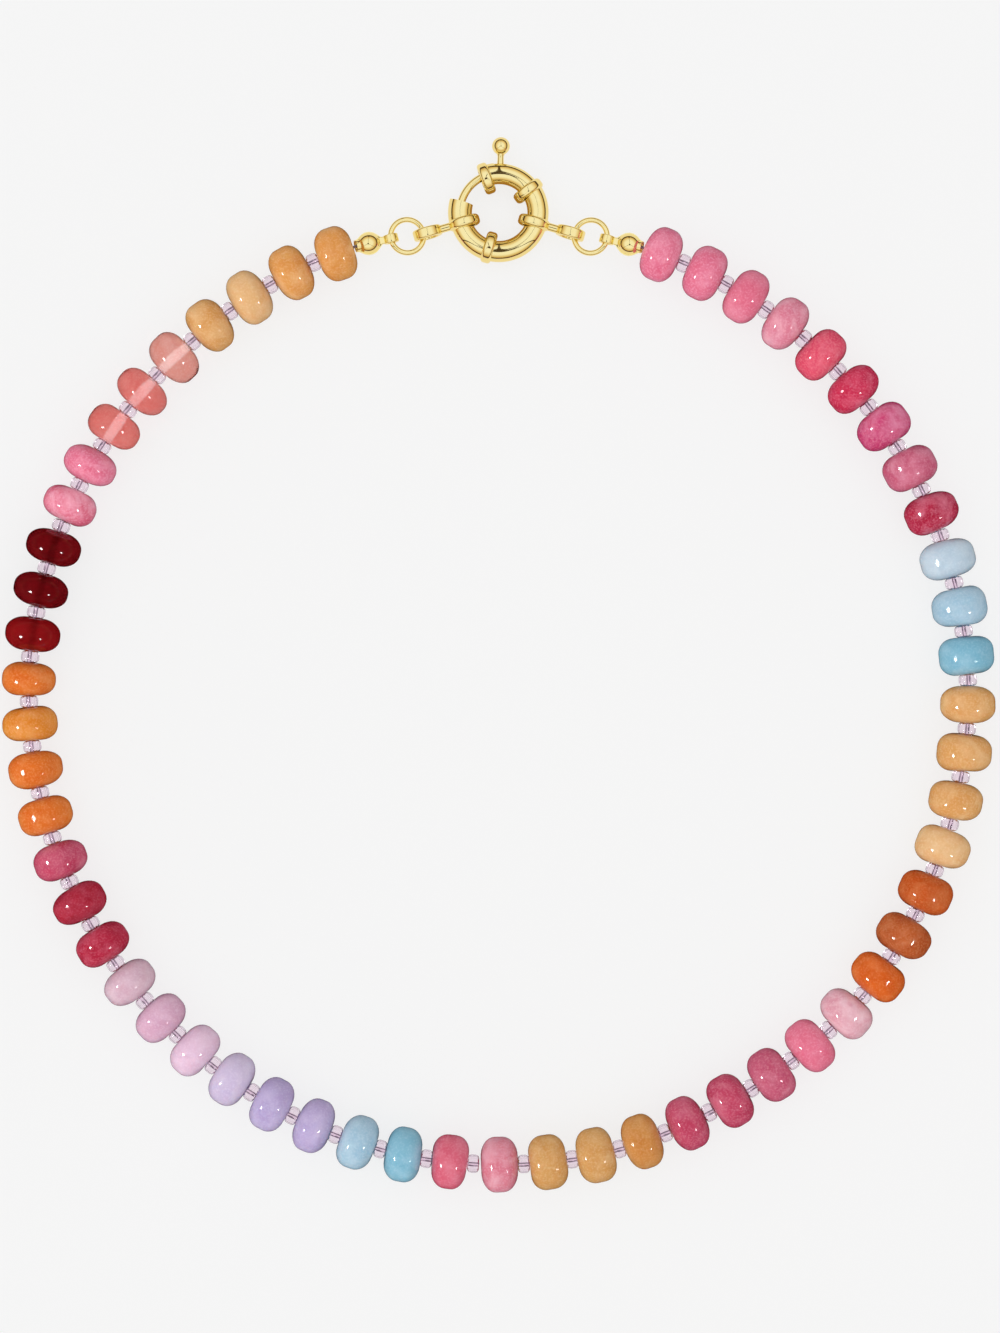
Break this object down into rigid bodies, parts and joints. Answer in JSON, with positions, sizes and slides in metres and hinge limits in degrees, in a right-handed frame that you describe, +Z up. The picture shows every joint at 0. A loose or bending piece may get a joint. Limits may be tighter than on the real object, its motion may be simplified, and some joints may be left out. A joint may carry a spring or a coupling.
{
  "type": "beaded necklace",
  "caption": "Whole clasped loop of polished stone rondelles with small glass beads between them and a round spring clasp, lying flat.",
  "frame": {"origin": "centre of the necklace's box on the surface that it lies on", "axes": "+Z up from the surface that it lies on, +Y towards the clasp, +X to the right seen from above with the clasp at the top"},
  "size_m": [0.1446, 0.1536, 0.008],
  "materials": {
    "polished_stone": "dyed translucent quartz, tumbled and polished, in many colours",
    "clear_glass": "clear pale pink drawn glass",
    "gilt_brass": "polished pale gold plate",
    "thread": "twisted nylon beading thread, silver grey"
  },
  "bodies": {
    "necklace": {"stone_string_left": "polished_stone", "stone_string_right": "polished_stone", "bead_tip_left": "gilt_brass", "bead_tip_right": "gilt_brass", "jump_ring_left": "gilt_brass", "jump_ring_right": "gilt_brass", "clasp_body": "gilt_brass"},
    "bolt": {"clasp_bolt": "gilt_brass"}
  },
  "joints": [
    {"name": "bolt_slide", "type": "hinge", "parent": "necklace", "child": "bolt", "pos_m": [0.00007, 0.06592, 0.00233], "axis": [0, 0, 1], "range_deg": [-39, 0], "stiffness_Nm_per_rad": 0.02, "springref_deg": 5.73}
  ]
}
